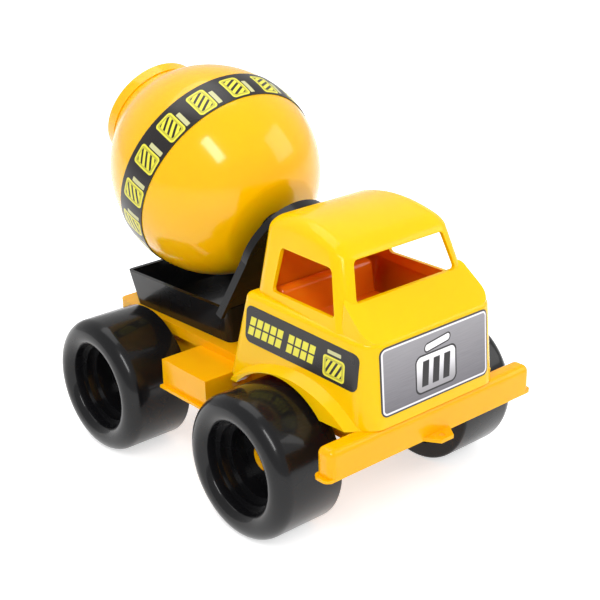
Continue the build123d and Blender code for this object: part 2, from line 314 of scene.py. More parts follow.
@dataclass(frozen=True)
class MouldedPlastic:
    """A glossy moulded plastic with the faint flow marks and grain of the real one."""

    name: str
    colour: Colour
    deep_colour: Colour
    roughness: float = 0.22
    roughness_swing: float = 0.08
    coat: float = 0.35
    coat_roughness: float = 0.08
    flow_scale: float = 18.0
    flow_share: float = 0.35
    flow_softness: float = 0.25
    grain_scale: float = 1100.0
    grain_depth: float = 0.02 * MM
    wave_scale: float = 45.0
    wave_depth: float = 0.25 * MM
    specular: float = 0.3
    sheen: Colour = WHITE
    glow: float = 0.0
    glow_reach: float = 4.0 * MM
    glow_colours: tuple[float, float, float] = (1.0, 0.35, 0.05)

    def material(self) -> bpy.types.Material:
        """Makes the plastic's material.

        Returns:
            The material.
        """
        graph = Surface(self.name)
        place = graph.place()
        flow = graph.noise(place, self.flow_scale, 3.0)
        grain = graph.noise(place, self.grain_scale)
        wave = graph.noise(place, self.wave_scale, 1.0)
        marks = flow.rising(0.5, self.flow_softness) * self.flow_share
        height = grain * (self.grain_depth / self.wave_depth) + wave
        return graph.finished({
            "Base Color": graph.mix(marks, self.colour, self.deep_colour),
            "Roughness": self.roughness + (flow - 0.5) * self.roughness_swing,
            "Specular IOR Level": self.specular,
            "Specular Tint": self.sheen,
            "Coat Weight": self.coat,
            "Coat Roughness": self.coat_roughness,
            "Subsurface Weight": self.glow,
            "Subsurface Scale": self.glow_reach,
            "Subsurface Radius": self.glow_colours,
            "Normal": graph.bump(height, self.wave_depth),
        })


@dataclass(frozen=True)
class WarmPlastic(MouldedPlastic):
    """The yellow plastics, which light enters a little way and leaves warmer."""

    coat: float = 0.2
    specular: float = 0.22
    sheen: Colour = (1.0, 0.82, 0.45, 1.0)
    glow: float = 0.35


@dataclass(frozen=True)
class PrintedFilm:
    """Glossy printed film, with a dark ground and plain generic shapes in a pale ink."""

    ground: Colour = screen_colour(34, 30, 30)
    ink: Colour = screen_colour(236, 228, 70)
    pale_ink: Colour = screen_colour(206, 204, 150)
    roughness: float = 0.28
    roughness_swing: float = 0.06
    specular: float = 0.4
    wave_scale: float = 60.0
    wave_depth: float = 0.15 * MM
    print_edge: float = 0.15 * MM
    bar_corner: float = 0.6 * MM
    patch_corner: float = 0.35
    frame_line: float = 0.16
    core_margin: float = 2.2
    ring_strength: float = 0.35
    stripe_pitch: float = 0.48
    stripe_fill: float = 0.22
    stripe_lean: float = 0.6

    def striped_patch(self, graph: Graph, across: Wire, up: Wire, half_width: float,
                      half_height: float) -> Wire:
        """Rounded patch of ink with a thin frame line and slanted stripes left out of it.

        Args:
            graph: the film's graph.
            across: distance from the patch's middle, across.
            up: distance from the patch's middle, upwards.
            half_width: half its width.
            half_height: half its height.

        Returns:
            One where there is ink and zero where there is none.
        """
        corner = half_height * self.patch_corner
        frame = half_height * self.frame_line
        margin = frame * self.core_margin
        patch = graph.rounded_patch(across, up, half_width, half_height, corner)
        inside = graph.rounded_patch(across, up, half_width - frame, half_height - frame, corner - frame / 2)
        core = graph.rounded_patch(across, up, half_width - margin, half_height - margin, corner / 2)
        pitch = half_width * self.stripe_pitch
        leaning = (across - up * self.stripe_lean).repeat(pitch).size()
        stripes = leaning.falling(pitch * self.stripe_fill, self.print_edge)
        ring = inside * (1.0 - core) * self.ring_strength
        return patch * (1.0 - ring) * (1.0 - stripes * core)

    def printed(self, graph: Surface, inked: Wire, bar: Wire) -> bpy.types.Material:
        """Ends the graph as film with ink and pale bars on it.

        Args:
            graph: the film's graph.
            inked: one where there is ink.
            bar: one where there is a pale bar.

        Returns:
            The material.
        """
        wave = graph.noise(graph.place(), self.wave_scale, 1.0)
        return graph.finished({
            "Base Color": graph.mix(bar, graph.mix(inked, self.ground, self.ink), self.pale_ink),
            "Roughness": self.roughness + (wave - 0.5) * self.roughness_swing,
            "Specular IOR Level": self.specular,
            "Normal": graph.bump(wave, self.wave_depth),
        })


@dataclass(frozen=True)
class BandFilm(PrintedFilm):
    """The band round the drum: equal striped patches, each with a small bar beside it."""

    patches: int = 17
    first_angle: float = math.radians(-3.8)
    radius: float = 75.85 * MM
    middle: float = -1.5 * MM
    patch_half_width: float = 10.2 * MM
    patch_half_height: float = 7.4 * MM
    bar_offset: float = 10.0 * MM
    bar_shift: float = -2.5 * MM
    bar_half_width: float = 6.5 * MM
    bar_half_height: float = 1.7 * MM

    def material(self, centre: Vector, axis: Vector) -> bpy.types.Material:
        """Makes the band's material.

        Args:
            centre: the drum's centre, in metres.
            axis: the drum's axis, towards the mouth.

        Returns:
            The material.
        """
        graph = Surface("drum_band_film")
        place = graph.place()
        outward = Vector((1, 0, 0))
        over = outward.cross(axis)
        across = graph.along(place, axis, centre) - self.middle
        angle = graph.along(place, outward, centre).angle_to(graph.along(place, over, centre))
        arc = (angle - self.first_angle).repeat(FULL_TURN / self.patches) * self.radius
        patch = self.striped_patch(graph, across, arc, self.patch_half_width, self.patch_half_height)
        bar = graph.rounded_patch(across - self.bar_shift, arc - self.bar_offset,
                                  self.bar_half_width, self.bar_half_height, self.bar_corner)
        return self.printed(graph, patch, bar)


@dataclass(frozen=True)
class SideFilm(PrintedFilm):
    """The film along one side of the cab: two rows of slanted blocks and a striped patch."""

    slope: float = math.radians(2.5)
    behind_axle: float = -13.0 * MM
    height: float = 127.0 * MM
    first_start: float = -48.5 * MM
    first_count: int = 5
    second_start: float = -12.0 * MM
    second_count: int = 4
    pitch: float = 6.5 * MM
    fill: float = 0.78
    slant: float = 0.22
    row_half_height: float = 6.6 * MM
    slit: float = 0.6 * MM
    row_drop: float = -0.8 * MM
    patch_place: float = 31.0 * MM
    patch_drop: float = -3.4 * MM
    patch_half_width: float = 9.6 * MM
    patch_half_height: float = 7.4 * MM
    bar_lift: float = 6.9 * MM
    bar_half_width: float = 6.0 * MM
    bar_half_height: float = 1.3 * MM

    def block_row(self, along: Wire, up: Wire, start: float, count: int) -> Wire:
        """Row of slanted blocks with a slit along its middle.

        Args:
            along: distance along the film.
            up: distance up the film.
            start: where the row starts.
            count: how many blocks it has.

        Returns:
            One inside a block and zero outside.
        """
        leaning = along - up * self.slant - start
        half_row = count * self.pitch / 2
        blocks = (leaning - self.pitch / 2).repeat(self.pitch).size()
        blocks = blocks.falling(self.pitch * self.fill / 2, self.print_edge)
        row = (leaning - half_row).size().falling(half_row, self.print_edge)
        height = up.size().falling(self.row_half_height, self.print_edge)
        return blocks * row * height * up.size().rising(self.slit, self.print_edge)

    def material(self, side: Side, axle: Vector) -> bpy.types.Material:
        """Makes one side film's material.

        Args:
            side: the side it lies on.
            axle: the middle of the front axle, in metres.

        Returns:
            The material.
        """
        graph = Surface(f"side_film_{side.name.lower()}")
        place = graph.place()
        origin = Vector((0, axle.y + self.behind_axle, self.height))
        forward = Vector((0, -math.cos(self.slope), -math.sin(self.slope)))
        upward = Vector((0, -math.sin(self.slope), math.cos(self.slope)))
        along = graph.along(place, forward, origin)
        up = graph.along(place, upward, origin)
        first = self.block_row(along, up - self.row_drop, self.first_start, self.first_count)
        second = self.block_row(along, up - self.row_drop, self.second_start, self.second_count)
        patch = self.striped_patch(graph, along - self.patch_place, up - self.patch_drop,
                                   self.patch_half_width, self.patch_half_height)
        bar = graph.rounded_patch(along - self.patch_place, up - self.bar_lift,
                                  self.bar_half_width, self.bar_half_height, self.bar_corner)
        return self.printed(graph, first.larger(second).larger(patch), bar)


@dataclass(frozen=True)
class FrontFilm:
    """The silver panel on the cab's front: dark edge, a bright band inside it that is a painted highlight
    along an embossed bevel, and a plain barred badge.
    """

    height: float = 118.2 * MM
    half_width: float = 48.5 * MM
    half_height: float = 23.2 * MM
    corner: float = 5.0 * MM
    edge: float = 1.1 * MM
    # Width and strength of the pale band of painted highlight along the embossed bevel.
    bevel: float = 1.3 * MM
    bevel_highlight_strength: float = 0.8
    silver: Colour = screen_colour(150, 148, 152)
    deep_silver: Colour = screen_colour(104, 102, 108)
    # Pale colour of the printed streak and the badge, also used for the painted highlight along the bevel.
    bright: Colour = screen_colour(244, 242, 246)
    dark: Colour = screen_colour(38, 36, 38)
    brushing_stretch: float = 30.0
    brushing_scale: float = 60.0
    brushing_contrast: float = 0.5
    brushing_depth: float = 0.03 * MM
    metal: float = 0.45
    roughness: float = 0.32
    roughness_swing: float = 0.1
    badge_drop: float = -4.5 * MM
    badge_half_width: float = 17.5 * MM
    badge_half_height: float = 12.0 * MM
    badge_corner: float = 4.2 * MM
    outline: float = 1.2 * MM
    outline_corner: float = 5.0 * MM
    bar_pitch: float = 9.6 * MM
    bar_half_width: float = 2.9 * MM
    bar_half_height: float = 8.6 * MM
    bar_lean: float = 0.08
    bars_half_width: float = 13.6 * MM
    side_softness: float = 0.2 * MM
    end_softness: float = 0.3 * MM
    streak_shift: float = 1.5 * MM
    streak_lift: float = 13.2 * MM
    streak_slope: float = 0.12
    streak_half_length: float = 11.0 * MM
    streak_half_height: float = 2.2 * MM
    streak_corner: float = 2.0 * MM
    streak_edge: float = 1.0 * MM

    def material(self) -> bpy.types.Material:
        """Makes the panel's material.

        Returns:
            The material.
        """
        graph = Surface("front_film")
        place = graph.place()
        across = graph.along(place, Vector((1, 0, 0)), Vector((0, 0, 0)))
        up = graph.along(place, Vector((0, 0, 1)), Vector((0, 0, self.height)))
        stretched = graph.node("ShaderNodeMapping", {},
                               {"Vector": place, "Scale": (1.0, 1.0, self.brushing_stretch)})
        brushing = graph.noise(stretched, self.brushing_scale, 3.0)
        inner = self.inset_panel(graph, across, up, self.edge)
        panel = self.panel(graph, across, up, brushing, inner)
        panel = self.with_badge(graph, panel, across, up - self.badge_drop)
        panel = self.with_streak(graph, panel, across - self.streak_shift,
                                 up - self.streak_lift - across * self.streak_slope)
        return graph.finished({
            "Base Color": panel,
            "Metallic": inner * self.metal,
            "Roughness": self.roughness + (brushing - 0.5) * self.roughness_swing,
            "Normal": graph.bump(brushing, self.brushing_depth),
        })

    def inset_panel(self, graph: Graph, across: Wire, up: Wire, inset: float) -> Wire:
        """One inside the panel drawn in by an inset."""
        return graph.rounded_patch(across, up, self.half_width - inset, self.half_height - inset,
                                   self.corner - inset)

    def panel(self, graph: Graph, across: Wire, up: Wire, brushing: Wire, inner: Wire) -> Wire:
        """Brushed silver, lighter towards the top, with its dark edge and a bright band inside it that is a
        painted highlight along its bevel.

        Args:
            graph: the film's graph.
            across: distance from the panel's middle, across.
            up: distance from the panel's middle, upwards.
            brushing: the brush marks.
            inner: one inside the dark edge.

        Returns:
            The panel's colour.
        """
        shade = up / (2 * self.half_height) + 0.5 + (brushing - 0.5) * self.brushing_contrast
        flat = self.inset_panel(graph, across, up, self.edge + self.bevel)
        silver = graph.mix(shade, self.deep_silver, self.silver)
        # A pale band just inside the dark edge is painted highlight, standing for the light that an embossed
        # bevel catches.
        silver_with_painted_highlight = graph.mix(inner * (1.0 - flat) * self.bevel_highlight_strength, silver, self.bright)
        return graph.mix(inner, self.dark, silver_with_painted_highlight)

    def with_badge(self, graph: Graph, panel: Wire, across: Wire, up: Wire) -> Wire:
        """Adds the bright badge with its dark outline and bars.

        Args:
            graph: the film's graph.
            panel: the panel's colour.
            across: distance from the badge's middle, across.
            up: distance from the badge's middle, upwards.

        Returns:
            The panel's colour with the badge.
        """
        outline = graph.rounded_patch(across, up, self.badge_half_width + self.outline,
                                      self.badge_half_height + self.outline, self.outline_corner)
        badge = graph.rounded_patch(across, up, self.badge_half_width, self.badge_half_height,
                                    self.badge_corner)
        chrome = graph.mix(up.rising(0, self.badge_half_height), self.silver, self.bright)
        bars = (across - up * self.bar_lean).repeat(self.bar_pitch).size()
        bars = bars.falling(self.bar_half_width, self.side_softness)
        bars = bars * up.size().falling(self.bar_half_height, self.end_softness)
        bars = bars * across.size().falling(self.bars_half_width, self.side_softness)
        shown = graph.mix(badge, graph.mix(outline, panel, self.dark), chrome)
        return graph.mix(badge * bars, shown, self.dark)

    def with_streak(self, graph: Graph, panel: Wire, across: Wire, up: Wire) -> Wire:
        """Adds the bright slanted streak above the badge, with its dark outline.

        Args:
            graph: the film's graph.
            panel: the panel's colour.
            across: distance from the streak's middle, across.
            up: distance from the streak's middle, upwards.

        Returns:
            The panel's colour with the streak.
        """
        for margin, colour in ((self.streak_edge, self.dark), (0.0, self.bright)):
            streak = graph.rounded_patch(across, up, self.streak_half_length + margin,
                                         self.streak_half_height + margin, self.streak_corner + margin)
            panel = graph.mix(streak, panel, colour)
        return panel


@dataclass(frozen=True)
class SteelRod:
    """Drawn steel of the axles."""

    name: str = "steel_rod"
    colour: Colour = screen_colour(196, 198, 202)
    line_scale: float = 400.0
    line_depth: float = 0.02 * MM
    roughness: float = 0.25
    roughness_swing: float = 0.15

    def material(self) -> bpy.types.Material:
        """Makes the steel's material.

        Returns:
            The material.
        """
        graph = Surface(self.name)
        lines = graph.noise(graph.place(), self.line_scale)
        return graph.finished({
            "Base Color": self.colour,
            "Metallic": 1.0,
            "Roughness": self.roughness + lines * self.roughness_swing,
            "Normal": graph.bump(lines, self.line_depth),
        })


def dress(node: bpy.types.Object, material: bpy.types.Material) -> None:
    """Gives a node of the frame one material.

    Args:
        node: the node's object.
        material: its finish.
    """
    if not node.material_slots:
        node.data.materials.append(material)
    for slot in node.material_slots:
        slot.material = material


@dataclass(frozen=True)
class Section:
    """Rounded plan outline of a moulding at one height."""

    height: float
    front_half: float
    rear_half: float
    front: float
    rear: float

    def towards(self, other: "Section", height: float) -> "Section":
        """Outline at another height on the straight sides through this one and another.

        Args:
            other: the other known outline.
            height: the height wanted.

        Returns:
            The outline there.
        """
        share = (height - self.height) / (other.height - self.height)

        def between(low: float, high: float) -> float:
            """Value at that share of the way from low to high."""
            return low + (high - low) * share

        return Section(height,
                       between(self.front_half, other.front_half), between(self.rear_half, other.rear_half),
                       between(self.front, other.front), between(self.rear, other.rear))


class Profile:
    """Outline of a turned piece, drawn as distances along its axis and out from it."""

    def __init__(self, along: float, out: float) -> None:
        """Starts the outline at a place."""
        self.mesh = bmesh.new()
        self.end = self.mesh.verts.new((along, out, 0))

    def line(self, *places: tuple[float, float]) -> "Profile":
        """Draws straight on through places.

        Args:
            places: distances along the axis and out from it.

        Returns:
            The profile.
        """
        for along, out in places:
            self.end = bmesh.ops.extrude_vert_indiv(self.mesh, verts=[self.end])["verts"][0]
            self.end.co = Vector((along, out, 0))
        return self

    def arc(self, along: float, out: float, degrees: float, steps: int) -> "Profile":
        """Draws on round a centre.

        Args:
            along: the centre's distance along the axis.
            out: the centre's distance out from it.
            degrees: how far the arc turns, from the axis towards the outward direction.
            steps: how many flats it has.

        Returns:
            The profile.
        """
        turned = bmesh.ops.spin(self.mesh, geom=[self.end], cent=(along, out, 0), axis=(0, 0, 1),
                                angle=math.radians(degrees), steps=steps)
        self.end = next(part for part in turned["geom_last"] if isinstance(part, bmesh.types.BMVert))
        return self


class Form:
    """A closed mesh under construction."""

    front_steps = 10
    rear_steps = 8
    corner_steps = 5
    merge_distance = 0.001
    level = 0.01
    upright_rise = 1.0
    parallel = 0.999

    def __init__(self) -> None:
        """Starts with an empty mesh."""
        self.mesh = bmesh.new()

    @classmethod
    def column(cls, foot: Section, head: Section, inset: float, front_corner: float,
               rear_corner: float) -> "Form":
        """Upright block between two outlines.

        Args:
            foot: outline at the bottom.
            head: outline at the top.
            inset: how far every side is drawn in.
            front_corner: radius of the two front uprights.
            rear_corner: radius of the two rear uprights.

        Returns:
            The block.
        """
        form = cls()
        bmesh.ops.create_cube(form.mesh, size=1)
        for vert in form.mesh.verts:
            section = head if vert.co.z > 0 else foot
            at_front = vert.co.y < 0
            half = (section.front_half if at_front else section.rear_half) - inset
            side = section.front + inset if at_front else section.rear - inset
            vert.co = Vector((math.copysign(half, vert.co.x), side, section.height))
        middle = (foot.front + foot.rear) / 2
        uprights = [edge for edge in form.mesh.edges
                    if abs(edge.verts[0].co.z - edge.verts[1].co.z) > cls.upright_rise]
        front = [edge for edge in uprights if edge.verts[0].co.y < middle]
        rear = [edge for edge in uprights if edge.verts[0].co.y > middle]
        form.round_off(front, front_corner - inset, cls.front_steps)
        form.round_off(rear, rear_corner - inset, cls.rear_steps)
        return form

    @classmethod
    def prism(cls, corners: list[tuple[float, float, float]], axis: Vector, corner: float) -> "Form":
        """Block whose face is swept along an axis.

        Args:
            corners: the face's corners, in order.
            axis: the sweep.
            corner: radius of the edges along the axis, or zero.

        Returns:
            The block.
        """
        form = cls()
        face = form.mesh.faces.new([form.mesh.verts.new(place) for place in corners])
        swept = bmesh.ops.extrude_face_region(form.mesh, geom=[face])["geom"]
        moved = [part for part in swept if isinstance(part, bmesh.types.BMVert)]
        bmesh.ops.translate(form.mesh, verts=moved, vec=axis)
        if corner:
            towards = axis.normalized()
            along = [edge for edge in form.mesh.edges
                     if abs((edge.verts[1].co - edge.verts[0].co).normalized().dot(towards)) > cls.parallel]
            form.round_off(along, corner, cls.corner_steps)
        form.close()
        return form

    @classmethod
    def disc(cls, centre: Vector, direction: Vector, low_radius: float, high_radius: float, depth: float,
             flats: int) -> "Form":
        """Cylinder or cone that stands on a centre.

        Args:
            centre: the middle of its foot.
            direction: its axis.
            low_radius: radius at the foot.
            high_radius: radius at the head.
            depth: its length along the axis.
            flats: how many flats go round.

        Returns:
            The cylinder or cone.
        """
        form = cls()
        turn = direction.to_track_quat("Z", "Y").to_matrix().to_4x4()
        place = Matrix.Translation(centre) @ turn @ Matrix.Translation((0, 0, depth / 2))
        bmesh.ops.create_cone(form.mesh, cap_ends=True, segments=flats, radius1=low_radius,
                              radius2=high_radius, depth=depth, matrix=place)
        return form

    @classmethod
    def turned(cls, profile: Profile, centre: Vector, direction: Vector, outward: Vector,
               flats: int) -> "Form":
        """Solid turned from a profile round an axis.

        Args:
            profile: the outline, drawn from the centre along the direction and outwards.
            centre: a place on the axis.
            direction: the axis.
            outward: a direction square to the axis.
            flats: how many flats go round.

        Returns:
            The solid.
        """
        form = cls()
        form.mesh = profile.mesh
        turn = Matrix((direction, outward, direction.cross(outward))).transposed().to_4x4()
        bmesh.ops.transform(form.mesh, matrix=Matrix.Translation(centre) @ turn, verts=form.mesh.verts)
        bmesh.ops.spin(form.mesh, geom=form.mesh.verts[:] + form.mesh.edges[:], cent=centre, axis=direction,
                       angle=FULL_TURN, steps=flats, use_merge=True)
        bmesh.ops.remove_doubles(form.mesh, verts=form.mesh.verts, dist=cls.merge_distance)
        form.close()
        return form

    def close(self) -> None:
        """Turns every face outwards."""
        bmesh.ops.recalc_face_normals(self.mesh, faces=self.mesh.faces)

    def round_off(self, edges: list[bmesh.types.BMEdge], radius: float, steps: int) -> None:
        """Rounds edges to a radius."""
        bmesh.ops.bevel(self.mesh, geom=edges, offset=radius, offset_type="OFFSET", segments=steps,
                        profile=0.5, affect="EDGES", material=-1)

    def top_edges(self) -> list[bmesh.types.BMEdge]:
        """The loop round the top."""
        top = max(vert.co.z for vert in self.mesh.verts)
        return [edge for edge in self.mesh.edges if all(top - vert.co.z < self.level for vert in edge.verts)]

    def everything(self) -> list[bmesh.types.BMVert | bmesh.types.BMEdge | bmesh.types.BMFace]:
        """All of the mesh, for a cut."""
        return self.mesh.verts[:] + self.mesh.edges[:] + self.mesh.faces[:]

    def cut_above(self, place: tuple[float, float, float], normal: tuple[float, float, float]) -> None:
        """Takes off what lies beyond a plane and closes the cut.

        Args:
            place: a place on the plane.
            normal: the direction that is taken off.
        """
        cut = bmesh.ops.bisect_plane(self.mesh, geom=self.everything(), plane_co=place, plane_no=normal,
                                     clear_outer=True)["geom_cut"]
        rim = [part for part in cut if isinstance(part, bmesh.types.BMEdge)]
        bmesh.ops.edgeloop_fill(self.mesh, edges=rim)
        self.close()

    def slice_across(self, places: list[float]) -> None:
        """Cuts rows of vertices across the truck at the given y."""
        for place in places:
            bmesh.ops.bisect_plane(self.mesh, geom=self.everything(), plane_co=(0, place, 0),
                                   plane_no=(0, 1, 0))

    def model(self, name: str, materials: tuple[bpy.types.Material, ...] = (),
              slot: int = 0) -> bpy.types.Object:
        """Makes a scene object of the mesh.

        Args:
            name: the object's name.
            materials: the finishes that it and the pieces combined with it use.
            slot: the number of the finish that its own faces have.

        Returns:
            The object.
        """
        data = bpy.data.meshes.new(name)
        for material in materials:
            data.materials.append(material)
        for face in self.mesh.faces:
            face.material_index = slot
        self.mesh.to_mesh(data)
        self.mesh.free()
        piece = bpy.data.objects.new(name, data)
        bpy.context.scene.collection.objects.link(piece)
        return piece


def combine(piece: bpy.types.Object, form: Form, merge: Merge,
            materials: tuple[bpy.types.Material, ...] = (), slot: int = 0) -> None:
    """Joins a form to a piece, cuts it out or keeps what they share.

    Args:
        piece: the piece that changes.
        form: the other solid.
        merge: what it does to the piece.
        materials: the finishes that the form's faces use.
        slot: the number of the form's own finish.
    """
    combine_pieces(piece, form.model("tool", materials, slot), merge)


def combine_pieces(piece: bpy.types.Object, tool: bpy.types.Object, merge: Merge) -> None:
    """Combines two pieces into the first one and drops the second.

    Args:
        piece: the piece that changes.
        tool: the other piece.
        merge: what it does to the first.
    """
    step = piece.modifiers.new("combine", "BOOLEAN")
    step.operation = merge.value
    step.solver = "EXACT"
    step.object = tool
    seen = piece.evaluated_get(bpy.context.evaluated_depsgraph_get())
    joined = bpy.data.meshes.new_from_object(seen)
    piece.modifiers.clear()
    piece.data = joined
    bpy.data.objects.remove(tool)


def settle(piece: bpy.types.Object, axle_y: float, body: str, stands_for: str,
           sharp_angle: float = math.radians(32)) -> None:
    """Puts a finished piece in the frame, on its body, in place of the node that it shows.

    Args:
        piece: the piece, in millimetres from the front axle.
        axle_y: where the front axle is in the frame, in metres.
        body: the body that it rides on.
        stands_for: the frame's node that it replaces.
        sharp_angle: edges sharper than this stay crisp.
    """
    piece.name = piece.data.name = f"{stands_for}_form"
    piece.data.transform(Matrix.Translation((0, axle_y, 0)) @ Matrix.Scale(MM, 4))
    piece.data.shade_smooth()
    piece.data.set_sharp_from_angle(angle=sharp_angle)
    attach(piece, body)
    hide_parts(stands_for)


@dataclass(frozen=True)
class CabShell:
    """The cab moulding: tapered body, bonnet, domed roof, flared wheel arches and open windows."""

    wall: float = 2.6
    foot: Section = Section(87.6, 59.5, 67.0, -76.0, 55.5)
    belt: Section = Section(150.0, 57.5, 62.0, -72.5, 41.5)
    spare_height: float = 6.0
    brow_height: float = 145.0
    front_corner: float = 14.0
    rear_corner: float = 6.0
    edge: float = 3.5
    house_foot: Section = Section(138.0, 58.8, 57.4, -56.7, 41.3)
    house_head: Section = Section(204.1, 47.8, 43.3, -37.4, 40.0)
    house_corner: float = 10.5
    roof_edge: float = 9.0
    roof_edge_loss: float = 0.8
    roof_edge_steps: int = 8
    roof_radius: float = 91.8
    roof_crown: float = 4.6
    roof_start: float = 184.0
    roof_rows: int = 12
    roof_row_pitch: float = 6.0
    bonnet_foot: Section = Section(138.0, 56.9, 56.9, -71.5, -44.0)
    bonnet_head: Section = Section(172.0, 52.4, 52.4, -71.5, -44.0)
    bonnet_corner: float = 11.0
    bonnet_rear_corner: float = 11.0 / 3
    bonnet_brow: float = -70.5
    glass_foot: float = -49.5
    glass_foot_height: float = 162.0
    arch_radius: float = 54.5
    arch_flats: int = 160
    wheel_radius: float = 50.0
    flare_reach: float = 7.0
    flare_radius: float = 93.0
    flare_slope: float = math.radians(25)
    flare_depth: float = 30.0
    flare_flats: int = 180
    flare_centre: tuple[float, float] = (-6.0, 18.0)
    flare_span: tuple[float, float] = (60.0, 220.0)
    window_corner: float = 2.8
    side_window: tuple[tuple[float, float], ...] = ((-40.4, 153.7), (21.3, 153.7), (18.0, 183.5),
                                                    (-32.5, 183.5))
    windscreen: tuple[tuple[float, float], ...] = ((-44.4, 162.8), (44.4, 162.8), (39.3, 187.9),
                                                   (-39.3, 187.9))
    windscreen_depth: float = 72.0
    reach: float = 90.0
    overcut: float = 1.0

    def lower(self, inset: float, edge: float = 0.0) -> Form:
        """Lower body with its top sloping down to the front.

        Args:
            inset: how far every side is drawn in.
            edge: radius of the edge round its top, or zero.

        Returns:
            The lower body.
        """
        top = self.foot.towards(self.belt, self.belt.height + self.spare_height)
        form = Form.column(self.foot, top, inset, self.front_corner, self.rear_corner)
        rise = self.belt.height - self.brow_height
        run = self.belt.rear - self.belt.front
        form.cut_above((0, self.belt.front, self.brow_height - inset), (0, -rise, run))
        if edge:
            ceiling = max(form.mesh.faces, key=lambda face: face.calc_center_median().z)
            form.round_off(list(ceiling.edges), edge, form.corner_steps)
        return form

    def bonnet(self, inset: float) -> Form:
        """Wedge between the brow and the windscreen.

        Args:
            inset: how far every side is drawn in.

        Returns:
            The wedge.
        """
        form = Form.column(self.bonnet_foot, self.bonnet_head, inset, self.bonnet_corner,
                           self.bonnet_rear_corner)
        rise = self.glass_foot_height - self.brow_height
        run = self.glass_foot - self.bonnet_brow
        form.cut_above((0, self.bonnet_brow, self.brow_height - inset), (0, -rise, run))
        return form

    def house(self, inset: float) -> Form:
        """Greenhouse under its domed roof.

        Args:
            inset: how far every side and the roof are drawn in.

        Returns:
            The greenhouse.
        """
        form = Form.column(self.house_foot, self.house_head, inset, self.house_corner, self.house_corner)
        for vert in form.mesh.verts:
            if vert.co.z > self.roof_start:
                vert.co.z -= inset
        form.round_off(form.top_edges(), self.roof_edge - inset * self.roof_edge_loss, self.roof_edge_steps)
        form.slice_across([self.house_head.front + self.roof_row_pitch * row
                           for row in range(1, self.roof_rows + 1)])
        full = self.house_head.height - inset - self.roof_start
        for vert in form.mesh.verts:
            weight = max(0.0, vert.co.z - self.roof_start) / full
            drop = self.roof_radius - math.sqrt(self.roof_radius**2 - (vert.co.y - self.roof_crown) ** 2)
            vert.co.z -= drop * weight
        return form

    def flare(self, side: Side) -> bpy.types.Object:
        """Raised fender over one front wheel.

        Args:
            side: the side it is on.

        Returns:
            The fender, as a cone that is trimmed to the body's own slope.
        """
        root = self.foot.front_half - self.flare_reach
        taper = math.tan(self.flare_slope)
        low = self.flare_radius + taper * self.flare_reach
        cone = Form.disc(Vector((side.value * root, *self.flare_centre)), Vector((side.value, 0, 0)),
                         low, low - taper * self.flare_depth, self.flare_depth, self.flare_flats)
        fender = cone.model("flare")
        combine(fender, self.lower(-self.flare_reach), Merge.SHARE)
        behind = self.foot.rear - self.wall / 2
        foot, head = self.flare_span
        corners = [(-self.reach, behind, foot), (self.reach, behind, foot),
                   (self.reach, behind, head), (-self.reach, behind, head)]
        combine(fender, Form.prism(corners, Vector((0, self.reach, 0)), 0), Merge.CUT)
        return fender

    def cavity(self, materials: tuple[bpy.types.Material, ...]) -> bpy.types.Object:
        """The hollow inside the walls, open at the bottom.

        Args:
            materials: the outer finish and the inner one, a deep orange that is painted shade, which the
                hollow leaves behind.

        Returns:
            The hollow, as a piece.
        """
        hollow = self.lower(self.wall)
        for vert in hollow.mesh.verts:
            if vert.co.z < self.foot.height + self.overcut:
                vert.co.z -= self.overcut
        inside = hollow.model("inside", materials, 1)
        combine(inside, self.bonnet(self.wall), Merge.JOIN, materials, 1)
        combine(inside, self.house(self.wall), Merge.JOIN, materials, 1)
        return inside

    def openings(self) -> list[Form]:
        """What is cut through the walls: the wheel arches, the side windows and the windscreen.

        Returns:
            The cutting forms.
        """
        across = Vector((1, 0, 0))
        arch = Form.disc(Vector((-self.reach, 0, self.wheel_radius)), across, self.arch_radius,
                         self.arch_radius, 2 * self.reach, self.arch_flats)
        side_glass = Form.prism([(-self.reach, y, z) for y, z in self.side_window],
                                across * 2 * self.reach, self.window_corner)
        front_glass = Form.prism([(x, -self.reach, z) for x, z in self.windscreen],
                                 Vector((0, self.windscreen_depth, 0)), self.window_corner)
        return [arch, side_glass, front_glass]

    def model(self, outer: bpy.types.Material, inner: bpy.types.Material) -> bpy.types.Object:
        """Makes the whole shell.

        Args:
            outer: finish of the outside.
            inner: finish of the inside, a deep orange that is painted shade.

        Returns:
            The shell.
        """
        shell = self.lower(0, self.edge).model("cab_shell", (outer, inner))
        combine(shell, self.bonnet(0), Merge.JOIN)
        combine(shell, self.house(0), Merge.JOIN)
        for side in Side:
            combine_pieces(shell, self.flare(side), Merge.JOIN)
        combine_pieces(shell, self.cavity((outer, inner)), Merge.CUT)
        for opening in self.openings():
            combine(shell, opening, Merge.CUT)
        return shell


